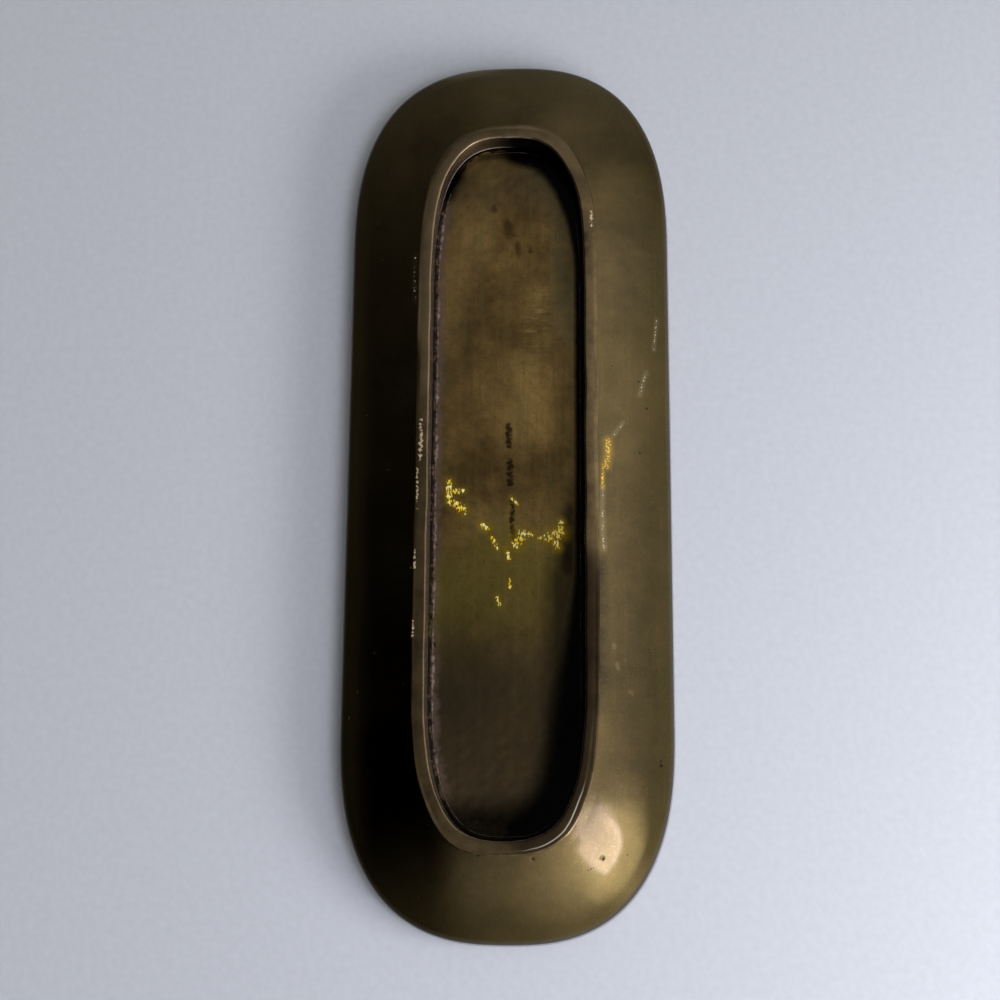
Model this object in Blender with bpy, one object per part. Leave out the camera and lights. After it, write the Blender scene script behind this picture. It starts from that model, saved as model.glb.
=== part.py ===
"""Brass trinket tray: a hollow domed shoulder round a shallow, round-ended well.

The tray lies along Y and stands on its felt at z = 0, with the origin under its middle.
Seen from below upwards it is a felt pad, a base plate soldered into the foot, the hollow,
a floor plate, and a collar whose lip rests on the edge of the domed shell.
"""
import math
from collections import namedtuple

import bmesh
import bpy

# Plan sizes, in metres.
TRAY_WIDTH = 0.0720            # across the outside
TRAY_LENGTH = 0.1990           # along the outside
TRAY_END = 0.0461              # how much of each end of the outer outline is curved
TRAY_SQUARENESS = 2.60         # exponent of the outer ends: 2 is an ellipse, more is squarer
SIDE_SHOULDER = 0.0157         # outside to lip, along the sides
END_SHOULDER = 0.0180          # outside to lip, at the two ends
WELL_END = 0.0368              # how much of each end of the well is curved
WELL_SQUARENESS = 2.90         # exponent of the well's ends

# Heights, in metres, from the table up.
FELT_THICKNESS = 0.0012
BASE_THICKNESS = 0.0008
HOLLOW_HEIGHT = 0.0019         # between the base plate and the floor plate
FLOOR_THICKNESS = 0.0010
WELL_DEPTH = 0.0060            # floor to lip top

# Shell, lip and collar, in metres.
SHELL_WALL = 0.0016
FOOT_RISE = 0.0004             # the felt stands this much proud of the foot
FOOT_HEIGHT = 0.0020           # upright part of the foot
DOME_STRAIGHTNESS = 0.5        # 0 is a quarter ellipse, 1 is a plain slope
LIP_FLAT = 0.0024              # flat top of the lip
LIP_ROUND = 0.0010             # rounded outer side of the lip
LIP_EDGE = 0.0004              # small round on the lip's inner edge
FLANGE = 0.0009                # thickness of the lip
COLLAR_WALL = 0.0014
FLOOR_SEAM = 0.0005            # open seam between the collar and the floor plate
FLOOR_FLANGE = 0.0025          # the floor plate reaches this far outside the collar

# Solder beads, in metres.
FLOOR_BEAD = 0.0004            # radius of the bead round the floor
COLLAR_BEAD = 0.0006           # radius of the bead under the shell
BASE_BEAD = 0.00035            # radius of the bead round the base plate

CLEARANCE = 0.0003             # gap left between pieces that touch

# Fineness of the curves.
END_STEPS = 30
DOME_STEPS = 8
ROUND_STEPS = 3
BEAD_RESOLUTION = 1
SHARP_ANGLE = math.radians(35)

Outline = namedtuple("Outline", "width length end squareness")

LIP_WIDTH = LIP_FLAT + LIP_ROUND
TRAY = Outline(TRAY_WIDTH, TRAY_LENGTH, TRAY_END, TRAY_SQUARENESS)
WELL = Outline(
    TRAY_WIDTH - 2 * (SIDE_SHOULDER + LIP_WIDTH),
    TRAY_LENGTH - 2 * (END_SHOULDER + LIP_WIDTH),
    WELL_END,
    WELL_SQUARENESS,
)

BASE_UNDERSIDE = FELT_THICKNESS + CLEARANCE
FLOOR_UNDERSIDE = BASE_UNDERSIDE + BASE_THICKNESS + HOLLOW_HEIGHT
FLOOR_TOP = FLOOR_UNDERSIDE + FLOOR_THICKNESS
LIP_TOP = FLOOR_TOP + WELL_DEPTH
LIP_UNDERSIDE = LIP_TOP - FLANGE
SHELL_TOP = LIP_UNDERSIDE - CLEARANCE
FOOT_TOP = FOOT_RISE + FOOT_HEIGHT

# Colours are linear RGB.
AGED_BRASS = ("aged_brass", (0.150, 0.105, 0.045), 0.34, 1.0)
WORN_BRASS = ("worn_brass", (0.230, 0.170, 0.085), 0.30, 1.0)
DULL_SHEET_BRASS = ("dull_sheet_brass", (0.170, 0.125, 0.060), 0.42, 1.0)
GREY_SOLDER = ("grey_solder", (0.250, 0.225, 0.200), 0.55, 1.0)
GREEN_FELT = ("green_felt", (0.020, 0.055, 0.035), 0.95, 0.0)


def grown(shape, distance):
    """The same outline, a distance further out all round, or further in if it is negative."""
    return Outline(
        shape.width + 2 * distance,
        shape.length + 2 * distance,
        shape.end + distance,
        shape.squareness,
    )


def between(first, second, share):
    """The outline that lies a share of the way from the first to the second."""
    return Outline(*(a + (b - a) * share for a, b in zip(first, second)))


def outline_points(shape):
    """Anticlockwise points of an outline: straight sides, and ends that are half superellipses."""
    power = 2.0 / shape.squareness
    straight = shape.length / 2 - shape.end
    points = []
    for side in (1, -1):
        for step in range(END_STEPS + 1):
            angle = math.pi * step / END_STEPS
            across = math.copysign(abs(math.cos(angle)) ** power, math.cos(angle))
            along = abs(math.sin(angle)) ** power
            points.append((side * shape.width / 2 * across, side * (straight + shape.end * along)))
    return points


def quarter_turn(steps):
    """Angles from 0 to a right angle, both included."""
    return [math.pi / 2 * step / steps for step in range(steps + 1)]


def material(finish):
    """A Principled material from a finish: its name, colour, roughness and metallic value."""
    name, colour, roughness, metallic = finish
    made = bpy.data.materials.new(name)
    made.use_nodes = True
    shader = made.node_tree.nodes["Principled BSDF"]
    shader.inputs["Base Color"].default_value = (*colour, 1.0)
    shader.inputs["Roughness"].default_value = roughness
    shader.inputs["Metallic"].default_value = metallic
    return made


def place(name, data, finish, collection, parent):
    """Put a mesh or curve in the collection as a named piece with its finish."""
    piece = bpy.data.objects.new(name, data)
    piece.data.materials.append(material(finish))
    piece.parent = parent
    collection.objects.link(piece)
    return piece


def ring(name, sections):
    """Mesh of a closed ring, lofted through sections that go once round its cross-section.

    Each section is an outline and a height, and the last one is joined to the first.
    """
    bm = bmesh.new()
    loops = []
    for shape, height in sections:
        loops.append([bm.verts.new((x, y, height)) for x, y in outline_points(shape)])
    count = len(loops[0])
    for loop, following in zip(loops, loops[1:] + loops[:1]):
        for i in range(count):
            j = (i + 1) % count
            bm.faces.new((loop[i], loop[j], following[j], following[i]))
    bmesh.ops.recalc_face_normals(bm, faces=bm.faces)
    mesh = bpy.data.meshes.new(name)
    bm.to_mesh(mesh)
    bm.free()
    mesh.shade_smooth()
    mesh.set_sharp_from_angle(angle=SHARP_ANGLE)
    return mesh


def flat_curve(name, shape):
    """Closed curve that follows an outline in the plane."""
    curve = bpy.data.curves.new(name, "CURVE")
    points = outline_points(shape)
    spline = curve.splines.new("POLY")
    spline.points.add(len(points) - 1)
    for point, (x, y) in zip(spline.points, points):
        point.co = (x, y, 0.0, 1.0)
    spline.use_cyclic_u = True
    return curve


def plate(name, shape, thickness):
    """Flat plate cut to an outline, centred on its own mid-height."""
    curve = flat_curve(name, shape)
    curve.dimensions = "2D"
    curve.fill_mode = "BOTH"
    curve.extrude = thickness / 2
    return curve


def bead(name, shape, radius):
    """Round bead of solder laid along an outline."""
    curve = flat_curve(name, shape)
    curve.dimensions = "3D"
    curve.bevel_depth = radius
    curve.bevel_resolution = BEAD_RESOLUTION
    return curve


def dome(foot, opening, top):
    """Sections up a domed side, from its upright foot in to the edge of its opening."""
    sections = [(foot, FOOT_RISE)]
    for angle in quarter_turn(DOME_STEPS):
        inwards = 1 - math.cos(angle)
        share = DOME_STRAIGHTNESS * inwards + (1 - DOME_STRAIGHTNESS) * math.sin(angle)
        sections.append((between(foot, opening, inwards), FOOT_TOP + (top - FOOT_TOP) * share))
    return sections


def shoulder_shell():
    """Hollow domed rim: the outer dome, then the inner dome back down to the foot."""
    opening = grown(WELL, COLLAR_WALL + CLEARANCE)
    outside = dome(TRAY, opening, SHELL_TOP)
    inside = dome(grown(TRAY, -SHELL_WALL), opening, SHELL_TOP - SHELL_WALL)
    return ring("shoulder_shell", outside + inside[::-1])


def well_collar():
    """Ring that lines the well: upright wall, flat lip and rounded outer side of the lip."""
    sections = [(WELL, FLOOR_TOP + FLOOR_SEAM)]
    for angle in quarter_turn(ROUND_STEPS):
        out = LIP_EDGE * (1 - math.cos(angle))
        down = LIP_EDGE * (1 - math.sin(angle))
        sections.append((grown(WELL, out), LIP_TOP - down))
    for angle in quarter_turn(ROUND_STEPS):
        out = LIP_FLAT + LIP_ROUND * math.sin(angle)
        down = FLANGE * (1 - math.cos(angle))
        sections.append((grown(WELL, out), LIP_TOP - down))
    sections.append((grown(WELL, COLLAR_WALL), LIP_UNDERSIDE))
    sections.append((grown(WELL, COLLAR_WALL), FLOOR_TOP + FLOOR_SEAM))
    return ring("well_collar", sections)


def build_tray():
    """Make every piece of the tray and stack the pieces from the table up."""
    collection = bpy.data.collections.new("trinket_tray")
    bpy.context.scene.collection.children.link(collection)
    origin = bpy.data.objects.new("tray_origin", None)
    collection.objects.link(origin)

    foot_inside = grown(TRAY, -(SHELL_WALL + CLEARANCE))
    base_bead_path = grown(foot_inside, -BASE_BEAD)
    felt_outline = grown(base_bead_path, -(BASE_BEAD + CLEARANCE))
    felt = plate("base_felt", felt_outline, FELT_THICKNESS)
    piece = place("base_felt", felt, GREEN_FELT, collection, origin)
    piece.location.z = FELT_THICKNESS / 2

    base = plate("base_plate", foot_inside, BASE_THICKNESS)
    piece = place("base_plate", base, DULL_SHEET_BRASS, collection, origin)
    piece.location.z = BASE_UNDERSIDE + BASE_THICKNESS / 2

    base_bead = bead("base_solder", base_bead_path, BASE_BEAD)
    piece = place("base_solder", base_bead, GREY_SOLDER, collection, origin)
    piece.location.z = BASE_UNDERSIDE - CLEARANCE - BASE_BEAD

    floor = plate("floor_plate", grown(WELL, COLLAR_WALL + FLOOR_FLANGE), FLOOR_THICKNESS)
    piece = place("floor_plate", floor, DULL_SHEET_BRASS, collection, origin)
    piece.location.z = FLOOR_TOP - FLOOR_THICKNESS / 2

    floor_bead = bead("floor_solder", grown(WELL, -(CLEARANCE + FLOOR_BEAD)), FLOOR_BEAD)
    piece = place("floor_solder", floor_bead, GREY_SOLDER, collection, origin)
    piece.location.z = FLOOR_TOP + CLEARANCE + FLOOR_BEAD

    place("well_collar", well_collar(), WORN_BRASS, collection, origin)
    place("shoulder_shell", shoulder_shell(), AGED_BRASS, collection, origin)

    # The shell's underside slopes down away from the collar, so its bead lies a radius lower.
    collar_bead_path = grown(WELL, COLLAR_WALL + CLEARANCE + COLLAR_BEAD)
    collar_bead = bead("collar_solder", collar_bead_path, COLLAR_BEAD)
    piece = place("collar_solder", collar_bead, GREY_SOLDER, collection, origin)
    piece.location.z = SHELL_TOP - SHELL_WALL - CLEARANCE - 2 * COLLAR_BEAD


for leftover in list(bpy.data.objects):
    bpy.data.objects.remove(leftover, do_unlink=True)
build_tray()
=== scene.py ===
# %% [markdown]
# # A brass trinket tray
# The tray is a long round-ended bar of dark old brass with a shallow well let into its top.
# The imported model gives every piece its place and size. This lesson gives the pieces their fine
# shape and their finish: cast brass, rubbed brass, sheet brass, solder and felt.

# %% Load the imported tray
import math

import bmesh
import bpy
import numpy as np
from mathutils import Matrix, Vector


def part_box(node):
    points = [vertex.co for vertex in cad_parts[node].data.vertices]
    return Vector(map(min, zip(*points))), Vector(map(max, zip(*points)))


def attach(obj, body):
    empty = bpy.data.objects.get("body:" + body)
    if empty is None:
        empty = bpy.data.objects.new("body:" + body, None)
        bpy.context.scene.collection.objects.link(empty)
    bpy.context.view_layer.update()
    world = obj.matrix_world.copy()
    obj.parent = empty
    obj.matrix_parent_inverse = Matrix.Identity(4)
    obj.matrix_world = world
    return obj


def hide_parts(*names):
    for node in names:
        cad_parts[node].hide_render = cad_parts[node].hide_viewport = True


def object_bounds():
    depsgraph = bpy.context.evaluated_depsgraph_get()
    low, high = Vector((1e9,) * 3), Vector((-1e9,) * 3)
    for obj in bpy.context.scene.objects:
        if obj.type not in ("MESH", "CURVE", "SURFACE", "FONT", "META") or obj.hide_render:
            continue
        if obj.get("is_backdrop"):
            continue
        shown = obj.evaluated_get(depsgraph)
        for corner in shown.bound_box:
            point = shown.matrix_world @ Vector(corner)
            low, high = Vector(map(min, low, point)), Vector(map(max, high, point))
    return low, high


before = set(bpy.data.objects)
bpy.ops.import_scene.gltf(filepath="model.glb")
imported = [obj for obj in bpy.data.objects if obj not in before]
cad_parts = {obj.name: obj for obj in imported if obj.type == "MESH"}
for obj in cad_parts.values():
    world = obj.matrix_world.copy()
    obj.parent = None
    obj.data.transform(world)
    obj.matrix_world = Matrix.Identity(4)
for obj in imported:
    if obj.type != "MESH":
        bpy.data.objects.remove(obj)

MM = 0.001
cad_low, cad_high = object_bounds()
print("packed tray, mm:", [round((b - a) / MM, 1) for a, b in zip(cad_low, cad_high)])

# %% [markdown]
# ## Sizes
# Lengths here are in millimetres, because that is how a tray is measured on the bench. Widths,
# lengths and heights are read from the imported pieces. The curve of the ends can't be read from a
# box, so the two end lengths and their squareness are written out as the maker would set them.


# %% Read the sizes of the pieces
def span(node):
    """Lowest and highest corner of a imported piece, in millimetres."""
    low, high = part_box(node)
    return np.array(low) / MM, np.array(high) / MM


shell_low, shell_high = span("shoulder_shell")
collar_low, collar_high = span("well_collar")

LIP_WIDTH = 3.4
COLLAR_WALL = 1.4
TRAY_END, TRAY_SQUARENESS = 46.1, 2.6
WELL_END, WELL_SQUARENESS = 36.8, 2.9

# An outline is its width, length, length of curved end, and squareness of the end.
TRAY = np.array([2 * shell_high[0], 2 * shell_high[1], TRAY_END, TRAY_SQUARENESS])
WELL = np.array([
    2 * (collar_high[0] - LIP_WIDTH),
    2 * (collar_high[1] - LIP_WIDTH),
    WELL_END,
    WELL_SQUARENESS,
])
print("tray", TRAY.round(2), "well", WELL.round(2))


def grown(shape, distance):
    """The same outline, a distance further out all round."""
    return shape + np.array([2.0, 2.0, 1.0, 0.0]) * distance


# %% [markdown]
# ## Walking round the tray
# Every piece goes round the well, so every piece is a stack of rings. All rings use the same list
# of stations, so that point 100 of one ring lies beside point 100 of the next. A circle would need
# only an angle. This outline has straight sides too, so a station is an angle for the ends and a
# share for the sides. Even steps keep the mesh as fine on the sides as on the ends.

# %% Stations round the outline
STATIONS = 960
STEPS_PER_STATION = 40
# A lap starts at the near tip, then goes up the right side, round the far end and down the left.
LAP = [0.0, 0.5, 1.5, 2.5, 3.5, 4.0]
LAP_TURN = np.array([-0.5, 0.0, 0.0, 1.0, 1.0, 1.5]) * math.pi
LAP_SHARE = [-1.0, -1.0, 1.0, 1.0, -1.0, -1.0]


def ring(shape, turn, share):
    """Plan points of an outline: sides by share of the straight, ends by angle as a superellipse.

    Across is half the width times the cosine to the power 2/squareness, with its sign. Along is
    the straight share, plus the end length times the sine to that power.
    """
    width, length, end, squareness = shape
    power = 2.0 / squareness
    across = np.sign(np.cos(turn)) * np.abs(np.cos(turn)) ** power
    along = np.sign(np.sin(turn)) * np.abs(np.sin(turn)) ** power
    return np.stack([width / 2 * across, (length / 2 - end) * share + end * along], axis=-1)


def even_stations(count):
    """Angle and share of points that are evenly spaced round the tray, from its near tip."""
    lap = np.linspace(LAP[0], LAP[-1], STEPS_PER_STATION * count + 1)
    walk = ring(TRAY, np.interp(lap, LAP, LAP_TURN), np.interp(lap, LAP, LAP_SHARE))
    step = np.linalg.norm(np.diff(walk, axis=0), axis=1)
    walked = np.concatenate([[0.0], np.cumsum(step)])
    even = np.interp(np.arange(count) * walked[-1] / count, walked, lap)
    return np.interp(even, LAP, LAP_TURN), np.interp(even, LAP, LAP_SHARE), walked[-1]


turn, share, lap_length = even_stations(STATIONS)
print(f"{STATIONS} stations, {lap_length / STATIONS:.2f} mm apart")


def rings(shapes, heights):
    """Grid of points, ring by ring: one outline and one height for each ring."""
    plan = np.stack([ring(shape, turn, share) for shape in shapes])
    z = np.broadcast_to(np.asarray(heights, float)[:, None], plan.shape[:2])
    return np.concatenate([plan, z[..., None]], axis=-1)


# %% [markdown]
# ## Hand-made unevenness
# Old cast and filed metal is never dead flat, and a reflection shows it at once. A sum of many
# long waves, in directions drawn from a seeded generator, gives a surface that wanders without
# repeating. It depends only on the place on the tray, so neighbouring pieces can share it.


# %% Unevenness
def wander(x, y, longest, shortest, seed, waves=28):
    """Smooth wandering of about unit size.

    It is a sum of sine waves of drawn length, direction and start, over the root of half their number.
    """
    draw = np.random.default_rng(seed)
    length = np.exp(draw.uniform(math.log(shortest), math.log(longest), waves))
    heading = draw.uniform(0.0, 2 * math.pi, waves)
    start = draw.uniform(0.0, 2 * math.pi, waves)
    total = np.zeros_like(x)
    for size, way, phase in zip(length, heading, start):
        total = total + np.sin((x * math.cos(way) + y * math.sin(way)) * 2 * math.pi / size + phase)
    return total / math.sqrt(waves / 2)


row = np.linspace(0.0, 1000.0, 2001)
print("spread of a wandering:", wander(row, row, 60.0, 16.0, seed=11).std().round(2))

# %% [markdown]
# ## Marks
# Dirt, wear and scratches lie in places that a hand or a drip chose, so they are drawn on the points
# of the mesh as values from 0 to 1 that a finish can read later. Three shapes are enough for all of
# them: a fade from one line to another, a bell round one value, and a band along a run of points.


# %% Shapes of marks
def fade(values, start, end):
    """Eased step from 0 at the start value to 1 at the end value, and level beyond both."""
    share = np.clip((values - start) / (end - start), 0.0, 1.0)
    return share * share * (3 - 2 * share)


def bell(values, middle, width):
    """1 at the middle, falling on both sides as e to the power of minus (distance / width) squared."""
    return np.exp(-(((values - middle) / width) ** 2))


def near_line(x, y, points, width):
    """Band along a run of points: a bell of the distance to the nearest stretch of it."""
    best = np.full_like(x, np.inf)
    for (ax, ay), (bx, by) in zip(points, points[1:]):
        dx, dy = bx - ax, by - ay
        along = np.clip(((x - ax) * dx + (y - ay) * dy) / (dx * dx + dy * dy), 0.0, 1.0)
        best = np.minimum(best, np.hypot(x - ax - along * dx, y - ay - along * dy))
    return bell(best, 0.0, width)


def near_any(x, y, runs):
    """Strongest of several bands, each given as its width and its points."""
    return np.max([near_line(x, y, points, width) for width, points in runs], axis=0)


# %% [markdown]
# ## From a grid to a mesh
# A grid of points becomes quads between each ring and the next. A ring-shaped piece also joins its
# last ring to its first. A plate starts and ends on its centre line, where the two halves of a ring
# fall on each other, so those doubles are merged and the plate is closed. Shading is smooth, but a
# true corner stays sharp, or the light would bend round it and draw a hairline.

# %% Mesh from a grid
SHARP_ANGLE = math.radians(50)
MERGE_DISTANCE = 1e-7


def grid_object(name, grid, closed, marks=None):
    """Object in metres from a grid of points in millimetres, with point attributes from marks."""
    count, around = grid.shape[:2]
    index = np.arange(count * around).reshape(count, around)
    first = index if closed else index[:-1]
    second = np.roll(index, -1, axis=0) if closed else index[1:]
    quads = np.stack([first, np.roll(first, -1, 1), np.roll(second, -1, 1), second], axis=-1)
    mesh = bpy.data.meshes.new(name)
    mesh.from_pydata((grid.reshape(-1, 3) * MM).tolist(), [], quads.reshape(-1, 4).tolist())
    for mark, values in (marks or {}).items():
        layer = mesh.attributes.new(mark, "FLOAT", "POINT")
        layer.data.foreach_set("value", values.astype(np.float32).ravel())
    bm = bmesh.new()
    bm.from_mesh(mesh)
    bmesh.ops.remove_doubles(bm, verts=bm.verts, dist=MERGE_DISTANCE)
    bmesh.ops.recalc_face_normals(bm, faces=bm.faces)
    bm.to_mesh(mesh)
    bm.free()
    mesh.shade_smooth()
    mesh.set_sharp_from_angle(angle=SHARP_ANGLE)
    piece = bpy.data.objects.new(name, mesh)
    bpy.context.scene.collection.objects.link(piece)
    print(f"{name}: {len(mesh.polygons)} faces")
    return piece


# %% [markdown]
# ## The domed shoulder
# The shoulder is a hollow casting: a foot that leans in a little, so that it leaves the mould, then
# a dome that rises to the opening for the collar. The dome's height is half a plain slope and half a
# quarter ellipse. The ellipse alone would stand upright at the foot and mirror the table in a pale
# stripe, so the dome begins part of the way round it and a plain bevel runs down to the foot. The
# dome stops short of the opening, and the lip of the collar lies in the step that is left.

# %% Profile of the dome
SHELL_WALL = 1.6
SHELL_GAP = 0.3
FOOT_TOP = 2.4
FOOT_EDGE = 0.35
DOME_STRAIGHTNESS = 0.5
DOME_START = math.radians(31.6)
DOME_TOP = 11.38
DOME_RINGS = 73
INSIDE_RINGS = 12
DOME_END = 0.925
# Corner between foot and bevel: share of the way in, and height in millimetres, of three points.
CORNER = np.array([(0.0165, 3.45), (0.0195, 3.90), (0.0495, 4.24)])


def dome(top, count, start=0.0, end=1.0):
    """Shares of the way in, and heights, of a dome from its foot towards its opening.

    Start is the angle on the quarter ellipse where it begins, and end is the share of the way
    where it stops. Top is the height that the whole way would reach.
    """
    angle = np.linspace(start, math.acos(1 - end), count)
    inwards = 1 - np.cos(angle)
    rise = DOME_STRAIGHTNESS * inwards + (1 - DOME_STRAIGHTNESS) * np.sin(angle)
    return inwards, FOOT_TOP + (top - FOOT_TOP) * rise


def part_way(foot, opening, shares):
    """Outlines that lie those shares of the way from a foot to an opening."""
    return foot + (opening - foot) * np.asarray(shares)[:, None]


def quarter(count):
    """Angles from 0 to a right angle, both included."""
    return np.linspace(0.0, math.pi / 2, count)


# %% Rings of the shoulder
opening = grown(WELL, COLLAR_WALL + SHELL_GAP)
inner_foot = grown(TRAY, -SHELL_WALL)
foot_low, shell_top = shell_low[2], shell_high[2]
edge = quarter(5)
edge_shapes = [grown(TRAY, -FOOT_EDGE * (1 - math.sin(angle))) for angle in edge]
edge_heights = foot_low + FOOT_EDGE * (1 - np.cos(edge))
dome_share, dome_heights = dome(DOME_TOP, DOME_RINGS, DOME_START, DOME_END)
# The corner is a parabola drawn by its three points, and the bevel is the straight line after it.
bent = np.linspace(0.0, 1.0, 6)[:, None]
corner = (1 - bent) ** 2 * CORNER[0] + 2 * bent * (1 - bent) * CORNER[1] + bent**2 * CORNER[2]
bevel = np.linspace(CORNER[2], (dome_share[0], dome_heights[0]), 5)[1:-1]
out_share = np.concatenate([corner[:, 0], bevel[:, 0], dome_share])
out_heights = np.concatenate([corner[:, 1], bevel[:, 1], dome_heights])
out_shapes = part_way(TRAY, opening, out_share)
in_share, in_heights = dome(shell_top - SHELL_WALL, INSIDE_RINGS)
in_shapes = part_way(inner_foot, opening, in_share)
step_shapes, step_heights = [out_shapes[-1], opening], [shell_top, shell_top]
shoulder_grid = rings(
    np.vstack([edge_shapes, out_shapes, step_shapes, in_shapes[::-1], [inner_foot]]),
    np.concatenate([edge_heights, out_heights, step_heights, in_heights[::-1], [foot_low]]),
)
print("shoulder rings and stations:", shoulder_grid.shape[:2])

# %% [markdown]
# ## The cast skin
# A casting keeps a slow swelling from the mould and a fine ripple from the cloth that wiped it. The
# largest pits are real dents, because one of them shows in the brightest reflection.

# %% Skin of the shoulder
SWELL, RIPPLE = 0.05, 0.002
PITS = [
    # x, y, radius and depth in millimetres; a negative depth is a bump
    (20.2, -81.5, 0.45, 0.12),
    (6.0, -81.7, 0.40, 0.08),
    (32.7, -62.3, 0.55, 0.10),
    (-29.7, 58.9, 0.45, -0.10),
    (-12.0, 91.5, 0.40, 0.08),
]


def lift(x, y):
    """How far the cast skin stands up or sinks at a place: a long wandering and a short one."""
    return SWELL * wander(x, y, 60.0, 16.0, seed=11) + RIPPLE * wander(x, y, 7.0, 2.5, seed=12)


def skin_share(inwards):
    """How much of the unevenness a ring takes: twice a half sine wave over the way in, at most 1."""
    return np.clip(2.0 * np.sin(math.pi * inwards), 0.0, 1.0)


x, y = shoulder_grid[..., 0], shoulder_grid[..., 1]
inwards = np.zeros(len(shoulder_grid))
inwards[len(edge):len(edge) + len(out_share)] = out_share
skin = skin_share(inwards)[:, None]
swelling = skin * lift(x, y)
shoulder_grid[..., 2] += swelling
# A pit is deepest in its middle and fades as e to the power of minus (distance / radius) cubed.
for px, py, radius, depth in PITS:
    away = np.hypot(x - px, y - py) / radius
    shoulder_grid[..., 2] -= skin * depth * np.exp(-(away**3))
print(f"the skin wanders from {swelling.min():.2f} to {swelling.max():.2f} mm")

# %% [markdown]
# ## Marks on the shoulder
# The right side is painted darker beside the lip and further out, as painted shade, and hard things
# have scratched it beside the lip. Scratches could be cut into the mesh, but these are too shallow to
# throw a shadow, so they are only marked, and their bright flecks are painted glints.

# %% Mark the shoulder
GOLD_RUNS = [
    # width of the run, then its points, in millimetres
    (1.3, [(22.0, 7.0), (22.1, 4.5), (21.6, 1.5)]),
    (0.6, [(20.9, 1.5), (20.8, -3.5)]),
]
PALE_RUNS = [
    (0.7, [(20.8, -3.5), (20.7, -8.0), (20.8, -13.0), (21.0, -17.0)]),
    (0.6, [(33.0, 36.0), (32.3, 29.0)]),
    (0.6, [(30.6, 23.5), (29.8, 21.0), (29.0, 18.0)]),
    (0.6, [(25.4, 11.5), (23.2, 8.4)]),
    (0.7, [(-20.6, 50.5), (-20.9, 45.7), (-20.5, 39.0)]),
    (0.5, [(23.0, -37.4), (23.0, -37.8)]),
    (0.5, [(23.6, -41.4), (23.8, -42.4)]),
    (0.4, [(26.3, -47.2), (26.6, -47.4)]),
]
# The painted shade is thickest next to the lip, with weaker patches further out on the right.
beside_lip = 0.85 * near_line(x, y, [(19.8, -20.0), (20.2, -56.0)], 2.6) * fade(y, -60.0, -42.0)
near_side = 0.40 * near_line(x, y, [(27.0, 0.0), (27.0, -62.0)], 9.0)
far_side = 0.48 * near_line(x, y, [(25.5, 54.0), (26.5, 42.0)], 8.0)
shoulder_marks = {
    "across": np.broadcast_to(inwards[:, None], x.shape),
    "soil_and_shade": np.max([beside_lip, near_side, far_side], axis=0),
    # Bright scratches, painted as glints with a painted glow.
    "gold_glint": near_any(x, y, GOLD_RUNS),
    "pale": near_any(x, y, PALE_RUNS),
}
shoulder = grid_object("tray_shoulder", shoulder_grid, True, shoulder_marks)

# %% [markdown]
# ## The collar and its lip
# The collar is one turned-over strip: an upright wall that lines the well, and a lip that lies on the
# edge of the shoulder. The lip is crowned a little and its outer edge falls away, so that it runs into
# the shoulder almost flush. Rounds at the lip's inner edge and at the foot of the wall catch the thin
# bright lines round the well. A lathe can't turn this shape, so the section is carried round the
# outline, and it may change on the way.

# %% Section of the collar
LIP_FLAT = 2.9
LIP_CROWN = 0.12
LIP_INNER_ROUND = 0.45
LIP_THICKNESS = 0.9
EDGE_THICKNESS = 0.4
EDGE_SINK = 0.06
WALL_FOOT_ROUND = 0.40
lip_top, wall_foot = collar_high[2], collar_low[2]
lip_under = lip_top - LIP_THICKNESS


def lip_seat(profile, side):
    """Value of the shoulder's profile where the lip ends: across the tray for 0, along it for 1."""
    out = (out_shapes[::-1, side] - WELL[side]) / 2
    return np.interp(LIP_WIDTH, out, profile[::-1])


def crown(out):
    """Height of the lip's top: level at the well, then falling outwards as a parabola."""
    return lip_top - LIP_CROWN * (out / LIP_FLAT) ** 2


lip_edge = lip_seat(out_heights, 0) - EDGE_SINK
bend = quarter(7)
fall = np.linspace(0.0, 1.0, 9)
inner_out = LIP_INNER_ROUND * (1 - np.cos(bend))
flat_out = np.linspace(LIP_INNER_ROUND, LIP_FLAT, 18)[1:-1]
under_out = np.linspace(LIP_WIDTH - EDGE_THICKNESS, COLLAR_WALL, 5)
section_out = np.concatenate([
    WALL_FOOT_ROUND * (1 - np.sin(bend)),
    inner_out,
    flat_out,
    LIP_FLAT + (LIP_WIDTH - LIP_FLAT) * fall,
    under_out[:1],
    under_out,
    np.full(4, COLLAR_WALL),
    np.linspace(COLLAR_WALL, WALL_FOOT_ROUND, 4)[1:-1],
])
section_up = np.concatenate([
    wall_foot + WALL_FOOT_ROUND * (1 - np.cos(bend)),
    crown(inner_out) - LIP_INNER_ROUND * (1 - np.sin(bend)),
    crown(flat_out),
    crown(LIP_FLAT) - (crown(LIP_FLAT) - lip_edge) * fall,
    [lip_edge],
    np.full(len(under_out), lip_under),
    np.linspace(lip_under, wall_foot, 5)[1:],
    np.full(2, wall_foot),
])
print("points on the collar's section:", len(section_out))

# %% [markdown]
# ## Filing and burnishing
# The lip was filed by hand, so its width and height wander a little. At the near right a burnisher
# was pressed into its outer half. The groove that it left is real, and its inner flank is painted pale
# as a highlight line.

# %% Shape of the lip
FILED_HEIGHT = 1.5
FILED_AT = 20.0
FLUSH_FROM = 2.2
GROOVE_PATH = [(18.4, -60.0), (17.6, -67.0), (15.3, -72.8), (12.6, -76.3), (6.0, -79.5), (0.0, -80.8)]
GROOVE_START = 1.6
GROOVE_FLANK = 0.40
GROOVE_DEPTH = 0.05
EDGE_ALLOWANCE = 0.05

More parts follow.
